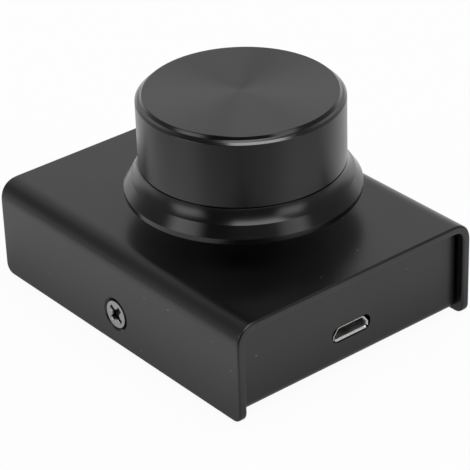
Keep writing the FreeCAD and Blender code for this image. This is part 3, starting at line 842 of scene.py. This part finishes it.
def ranged(tree, value, low, high, start=0.3, end=0.7, curve="LINEAR"):
    """A value carried from start..end to low..high, and held at both ends."""
    node = tree.nodes.new("ShaderNodeMapRange")
    node.interpolation_type = curve
    limits = {"From Min": start, "From Max": end, "To Min": low, "To Max": high}
    return feed(tree, node, {"Value": value, **limits}).outputs["Result"]


def blended(tree, factor, first, second):
    """A colour between first and second."""
    node = tree.nodes.new("ShaderNodeMix")
    node.data_type = "RGBA"
    first, second = ((*c, 1) if isinstance(c, tuple) else c for c in (first, second))
    return feed(tree, node, {mix_factor: factor, mix_first: first, mix_second: second}).outputs[mix_colour]


def maths(tree, operation, *values):
    """One step of arithmetic on numbers and node outputs."""
    node = tree.nodes.new("ShaderNodeMath")
    node.operation = operation
    return feed(tree, node, dict(enumerate(values))).outputs[0]


def raised(tree, shader, height, distance, strength=1.0):
    """Bump from a height, distance in millimetres."""
    bump = tree.nodes.new("ShaderNodeBump")
    feed(tree, bump, {"Strength": strength, "Distance": distance * MM, "Height": height})
    feed(tree, shader, {"Normal": bump.outputs["Normal"]})


def dust(tree, place, scale, share, size):
    """1 on rare small specks: the middle of a few of the random cells."""
    cells = feed(tree, tree.nodes.new("ShaderNodeTexVoronoi"), {"Scale": scale, "Vector": place})
    near = ranged(tree, cells.outputs["Distance"], 1.0, 0.0, size / 2, size)
    split = feed(tree, tree.nodes.new("ShaderNodeSeparateColor"), {0: cells.outputs["Color"]})
    return maths(tree, "MULTIPLY", near, maths(tree, "GREATER_THAN", split.outputs[0], 1 - share))


def blasted_anodised(name, roughness, swing):
    """Bead-blasted sheet, black anodised: an even fine grain, faint mottling and rare dust.

    The roughness goes up and down by the swing with the mottling.
    """
    material, tree, shader, place = new_finish(name, anodised_black, roughness, ior=1.54)
    mottle = noise(tree, place, scale=90)
    dark = blended(tree, mottle, sheet_dark, anodised_black)
    rough = ranged(tree, mottle, roughness - swing, roughness + swing, start=0.2, end=0.8)
    specks = dust(tree, place, scale=400, share=0.12, size=0.07)
    feed(tree, shader, {"Roughness": rough, "Base Color": blended(tree, specks, dark, sheet_dust)})
    raised(tree, shader, noise(tree, place, scale=7000, detail=1.0), distance=0.004, strength=0.35)
    return material


def turned_anodised(name, roughness, spread, rings, ior, lean=0.0):
    """Turned metal, black anodised: grooves run round, so a light spreads along the profile.

    Where the grooves are a little one-sided, the metal mirrors as if it leaned by a small slope.
    """
    material, tree, shader, place = new_finish(name, anodised_black, roughness, ior=ior)
    tangent = tree.nodes.new("ShaderNodeTangent")
    tangent.direction_type = "UV_MAP"
    tangent.uv_map = turning_map
    feed(tree, shader, {"Anisotropic": spread, "Tangent": tangent.outputs[0]})
    along = tree.nodes.new("ShaderNodeUVMap")
    along.uv_map = turning_map
    run = feed(tree, tree.nodes.new("ShaderNodeSeparateXYZ"), {0: along.outputs[0]}).outputs[0]
    ring = tree.nodes.new("ShaderNodeTexNoise")
    ring.noise_dimensions = "1D"
    fine = feed(tree, ring, {"Scale": rings, "Detail": 3.0, "W": run}).outputs["Fac"]
    rough = ranged(tree, fine, roughness - turning_swing, roughness + turning_swing)
    dark = blended(tree, fine, turned_dark, turned_light)
    specks = dust(tree, place, scale=160, share=0.05, size=0.03)
    feed(tree, shader, {"Roughness": rough, "Base Color": blended(tree, specks, dark, turned_dust)})
    slope = maths(tree, "MULTIPLY", run, lean * CM / MM)
    raised(tree, shader, maths(tree, "MULTIPLY_ADD", fine, groove_depth, slope), distance=1.0)
    return material


def bright_metal(name, colour, roughness):
    """Plated or rolled metal with a fine grain, clouded a little."""
    material, tree, shader, place = new_finish(name, colour, roughness, metallic=1.0)
    cloud = noise(tree, place, scale=400)
    worn = tuple(metal_wear * c for c in colour)
    rough = ranged(tree, cloud, roughness - 0.05, roughness + 0.08)
    feed(tree, shader, {"Base Color": blended(tree, cloud, worn, colour), "Roughness": rough})
    raised(tree, shader, noise(tree, place, scale=3000), distance=0.002, strength=0.3)
    return material


def screw_metal():
    """Plated screw, its cross recess darkened with painted shade, darker the deeper it goes."""
    material = bright_metal("screw_plating", (0.42, 0.42, 0.42), 0.38)
    tree = material.node_tree
    shader = tree.nodes["Principled BSDF"]
    plain = shader.inputs["Base Color"].links[0].from_socket
    # Painted shade: the colour darkens with the depth into the cross recess
    depth = tree.nodes.new("ShaderNodeAttribute")
    depth.attribute_name = recess_shade_layer
    deep = ranged(tree, depth.outputs["Fac"], 0.0, 1.0, start=0.05, end=0.5)
    feed(tree, shader, {"Base Color": blended(tree, deep, plain, recess_painted_shade)})
    return material


def moulded(name, colour, roughness, ior=1.5):
    """Moulded plastic or rubber with a fine spark-eroded grain."""
    material, tree, shader, place = new_finish(name, colour, roughness, ior=ior)
    grain = noise(tree, place, scale=2500)
    lighter = tuple(min(1.0, moulding_glow * c) for c in colour)
    clouded = blended(tree, noise(tree, place, scale=250), colour, lighter)
    rough = ranged(tree, grain, roughness - 0.06, roughness + 0.06)
    feed(tree, shader, {"Base Color": clouded, "Roughness": rough})
    raised(tree, shader, grain, distance=0.01, strength=0.4)
    return material


def board_mask():
    """Green solder mask: copper shows through as lighter bands, in a slow wave."""
    material, tree, shader, place = new_finish("solder_mask", (0.01, 0.09, 0.03), 0.35)
    band = tree.nodes.new("ShaderNodeTexWave")
    feed(tree, band, {"Scale": 130, "Distortion": 2.0, "Vector": place})
    track = ranged(tree, band.outputs["Fac"], 0.0, 1.0, start=0.55, end=0.65)
    feed(tree, shader, {"Base Color": blended(tree, track, mask_green, mask_over_copper)})
    raised(tree, shader, track, distance=0.03, strength=0.5)
    return material


blasted = blasted_anodised("blasted_anodised", 0.32, swing=0.03)
turned_metal = turned_anodised("fine_turned_anodised", 0.25, spread=0.97, rings=90.0, ior=1.6, lean=0.02)
skirt_metal = turned_anodised("fine_cut_anodised", 0.18, spread=0.5, rings=60.0, ior=1.5)
flare_metal = turned_anodised("satin_cut_anodised", 0.23, spread=0.8, rings=60.0, ior=1.54)
rim_metal = turned_anodised("bright_cut_anodised", 0.18, spread=0.5, rings=60.0, ior=1.85)
plated = bright_metal("bright_plating", (0.62, 0.62, 0.64), 0.3)
tinned = bright_metal("tinned_metal", (0.72, 0.72, 0.72), 0.35)
socket_steel = bright_metal("socket_steel", (0.92, 0.92, 0.93), 0.4)
black_plastic = moulded("black_moulding", (0.012, 0.012, 0.012), 0.5)
encoder_plastic = moulded("encoder_moulding", (0.015, 0.04, 0.025), 0.5)

node_finishes = {
    "knob_core": moulded("core_moulding", (0.03, 0.03, 0.03), 0.5),
    "encoder_shaft": bright_metal("nickel_plating", (0.7, 0.68, 0.63), 0.25),
    "shaft_retainer": tinned,
    "encoder_rotor": moulded("rotor_moulding", (0.55, 0.53, 0.47), 0.5),
    "detent_spring": bright_metal("spring_sheet", (0.72, 0.6, 0.36), 0.3),
    "rotor_case": encoder_plastic,
    "switch_case": encoder_plastic,
    "switch_plunger": moulded("plunger_moulding", (0.5, 0.48, 0.44), 0.5),
    "encoder_bushing": bright_metal("zinc_casting", (0.58, 0.58, 0.58), 0.4),
    "encoder_bracket": tinned,
    "encoder_terminals": tinned,
    "mounting_washer": plated,
    "mounting_nut": plated,
    "circuit_board": board_mask(),
    "usb_insulator": moulded("socket_moulding", (0.004, 0.004, 0.004), 0.5, ior=1.25),
    "usb_contacts": bright_metal("gold_flash", (0.9, 0.7, 0.3), 0.25),
    "controller_chip": moulded("chip_moulding", (0.02, 0.02, 0.022), 0.55),
    "chip_leads": tinned,
    "crystal_can": socket_steel,
    "chip_capacitors": moulded("ceramic", (0.36, 0.24, 0.13), 0.4),
    "chip_resistors": black_plastic,
}
for node, finish in node_finishes.items():
    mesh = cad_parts[node].data
    mesh.materials.clear()
    mesh.materials.append(finish)


def dress(piece, node, body, finish=None):
    """Puts a finished piece in the place of its node."""
    if finish:
        piece.data.materials.clear()
        piece.data.materials.append(finish)
    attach(piece, body)
    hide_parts(node)


dress(knob(turned_metal, skirt_metal, rim_metal, flare_metal), "knob_shell", "knob")
dress(cover(), "top_cover", "case", blasted)
dress(tray(), "base_tray", "case", blasted)
dress(screws(), "cover_screws", "case", screw_metal())
dress(socket_shell(), "usb_shell", "case", socket_steel)
dress(feet(), "rubber_feet", "case", moulded("foot_rubber", (0.02, 0.02, 0.02), 0.7))
dome = snap_dome()
dress(dome, "switch_dome", "case", bright_metal("dome_steel", (0.66, 0.65, 0.62), 0.25))
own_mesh(dome)

# The camera's axes and place, from the values at the top
azimuth, elevation, roll = map(math.radians, (camera_azimuth, camera_elevation, camera_roll))
towards_camera = np.array([math.sin(azimuth), -math.cos(azimuth), 0.0])
camera_right = np.array([math.cos(azimuth), math.sin(azimuth), 0.0])
back = towards_camera * math.cos(elevation) + np.array([0, 0, math.sin(elevation)])
up = np.cross(back, camera_right)
tilted_right = math.cos(roll) * camera_right + math.sin(roll) * up
tilted_up = math.cos(roll) * up - math.sin(roll) * camera_right
aim_right = (aim_pixel[0] - photo_width / 2) / focal_pixels * aim_distance
aim_up = (photo_width / 2 - aim_pixel[1]) / focal_pixels * aim_distance
camera_place = aim_point - aim_right * tilted_right - aim_up * tilted_up + aim_distance * back


def set_camera():
    """The camera at the place and with the lens that the photograph was taken with."""
    data = bpy.data.cameras.new("camera")
    data.sensor_width = sensor_width
    data.lens = focal_pixels / photo_width * sensor_width
    data.clip_start, data.clip_end = clip_range
    camera = bpy.data.objects.new("camera", data)
    bpy.context.scene.collection.objects.link(camera)
    whole = np.eye(4)
    whole[:3, :3] = np.stack([tilted_right, tilted_up, back], -1)
    whole[:3, 3] = camera_place * MM
    camera.matrix_world = Matrix(whole.tolist())
    bpy.context.scene.camera = camera


# Light: a studio painted round the object, seen from the camera's bearing
def part_of(tree, way, axis):
    """How far a direction points along an axis."""
    node = tree.nodes.new("ShaderNodeVectorMath")
    node.operation = "DOT_PRODUCT"
    return feed(tree, node, {0: way, 1: tuple(axis)}).outputs["Value"]


def degrees_of(tree, first, second):
    """The angle in degrees whose sine and cosine are in the ratio of two values."""
    return maths(tree, "MULTIPLY", maths(tree, "ARCTAN2", first, second), math.degrees(1))


def eased(tree, value, zero_at, one_at, low=0.0, high=1.0):
    """A smooth change from low to high while the value goes from zero_at to one_at."""
    return ranged(tree, value, low, high, zero_at, one_at, curve="SMOOTHSTEP")


def within(tree, value, start, end, soft):
    """1 from start to end, easing to 0 over the soft margin outside."""
    rise = eased(tree, value, start - soft, start)
    return maths(tree, "MULTIPLY", rise, eased(tree, value, end + soft, end))


def studio(tree):
    """How bright the studio is in each direction.

    A pale backdrop stands behind, under a dark ceiling. It is brightest at the horizon, fainter at
    the sides, and left out towards the camera. A wide soft box hangs overhead, leans towards the
    camera and lies mostly to the right. A smaller one stands on the left and another on the right.
    """
    way = tree.nodes.new("ShaderNodeTexCoord").outputs["Generated"]
    near = part_of(tree, way, towards_camera)
    right = part_of(tree, way, camera_right)
    high = part_of(tree, way, (0, 0, 1))
    level = maths(tree, "MULTIPLY_ADD", near, near, maths(tree, "MULTIPLY", right, right))
    rise = degrees_of(tree, high, maths(tree, "SQRT", level))
    bearing = degrees_of(tree, right, near)
    lean = degrees_of(tree, near, high)

    about = maths(tree, "ABSOLUTE", bearing)
    backdrop = eased(tree, about, *backdrop_side, side_level, 1.0)
    backdrop = maths(tree, "MULTIPLY", backdrop, eased(tree, about, *camera_side))
    backdrop = maths(tree, "MULTIPLY", backdrop, eased(tree, rise, *backdrop_top))
    glow = eased(tree, rise, *horizon, backdrop_level, horizon_level)
    total = maths(tree, "MULTIPLY_ADD", backdrop, glow, ceiling_level)

    across = within(tree, right, *overhead_across)
    overhead = maths(tree, "MULTIPLY", within(tree, lean, *overhead_lean), across)
    total = maths(tree, "MULTIPLY_ADD", overhead, overhead_level, total)
    side_rise = within(tree, rise, *side_box_rise)
    for box_bearing, strength in side_boxes:
        box = maths(tree, "MULTIPLY", within(tree, bearing, *box_bearing), side_rise)
        total = maths(tree, "MULTIPLY_ADD", box, strength, total)
    return total


def set_world():
    """The painted studio for all rays but the camera's own, which see plain white."""
    world = bpy.data.worlds.new("studio")
    bpy.context.scene.world = world
    world.use_nodes = True
    tree = world.node_tree
    tree.nodes.clear()
    room = tree.nodes.new("ShaderNodeBackground")
    feed(tree, room, {"Color": (1, 1, 1, 1), "Strength": studio(tree)})
    plain = tree.nodes.new("ShaderNodeBackground")
    feed(tree, plain, {"Color": (1, 1, 1, 1)})
    seen = tree.nodes.new("ShaderNodeLightPath").outputs["Is Camera Ray"]
    either = tree.nodes.new("ShaderNodeMixShader")
    feed(tree, either, {0: seen, 1: room.outputs[0], 2: plain.outputs[0]})
    feed(tree, tree.nodes.new("ShaderNodeOutputWorld"), {0: either.outputs[0]})


# Floor
def paper():
    """White paper, plain to the camera.

    In the metal it shows as a bright patch with painted shade on it: painted dimmer towards the camera
    and far out to the sides, and a painted contact shade close to the case.
    """
    material = bpy.data.materials.new("white_paper")
    material.use_nodes = True
    tree = material.node_tree
    tree.nodes.clear()
    place = tree.nodes.new("ShaderNodeTexCoord").outputs["Object"]
    near = part_of(tree, place, towards_camera / MM)
    aside = maths(tree, "ABSOLUTE", part_of(tree, place, camera_right / MM))
    x = maths(tree, "ABSOLUTE", part_of(tree, place, (1 / MM, 0, 0)))
    y = maths(tree, "ABSOLUTE", part_of(tree, place, (0, 1 / MM, 0)))
    out_x = maths(tree, "SUBTRACT", x, cover_high[0])
    out_y = maths(tree, "SUBTRACT", y, cover_high[1])
    outside = maths(tree, "MAXIMUM", out_x, out_y)
    sideways = eased(tree, aside, *floor_side)
    sideways = maths(tree, "MULTIPLY", sideways, eased(tree, near, *floor_side_from))
    # Painted shade for glossy rays: dimmer towards the camera and far out to the sides
    painted_mirror_level = eased(tree, near, *floor_front_painted_dim)
    painted_mirror_level = maths(tree, "MULTIPLY", painted_mirror_level, maths(tree, "SUBTRACT", 1.0, sideways))
    # Painted contact shade: the glossy level drops close to the case
    painted_mirror_level = maths(tree, "MULTIPLY", painted_mirror_level, eased(tree, outside, *floor_painted_contact_shade))
    ray = tree.nodes.new("ShaderNodeLightPath")
    seen, glossy = ray.outputs["Is Camera Ray"], ray.outputs["Is Glossy Ray"]
    change = maths(tree, "MULTIPLY", maths(tree, "SUBTRACT", painted_mirror_level, 1.0), glossy)
    share = maths(tree, "MULTIPLY", glossy, floor_glossy_share)
    share = maths(tree, "MULTIPLY_ADD", seen, floor_share, share)
    matt = feed(tree, tree.nodes.new("ShaderNodeBsdfDiffuse"), {"Color": (*paper_white, 1)})
    white = tree.nodes.new("ShaderNodeEmission")
    feed(tree, white, {"Strength": maths(tree, "ADD", change, 1.0)})
    either = tree.nodes.new("ShaderNodeMixShader")
    feed(tree, either, {0: share, 1: matt.outputs[0], 2: white.outputs[0]})
    feed(tree, tree.nodes.new("ShaderNodeOutputMaterial"), {0: either.outputs[0]})
    return material


def set_floor():
    """A wide sheet of paper under the object."""
    corners = np.array([(-1, -1, 0), (1, -1, 0), (1, 1, 0), (-1, 1, 0)]) * floor_reach
    floor = fill_piece("floor", corners, [(0, 1, 2, 3)])
    floor.data.materials.append(paper())


set_camera()
set_world()
set_floor()
bpy.context.scene.view_settings.view_transform = "Standard"
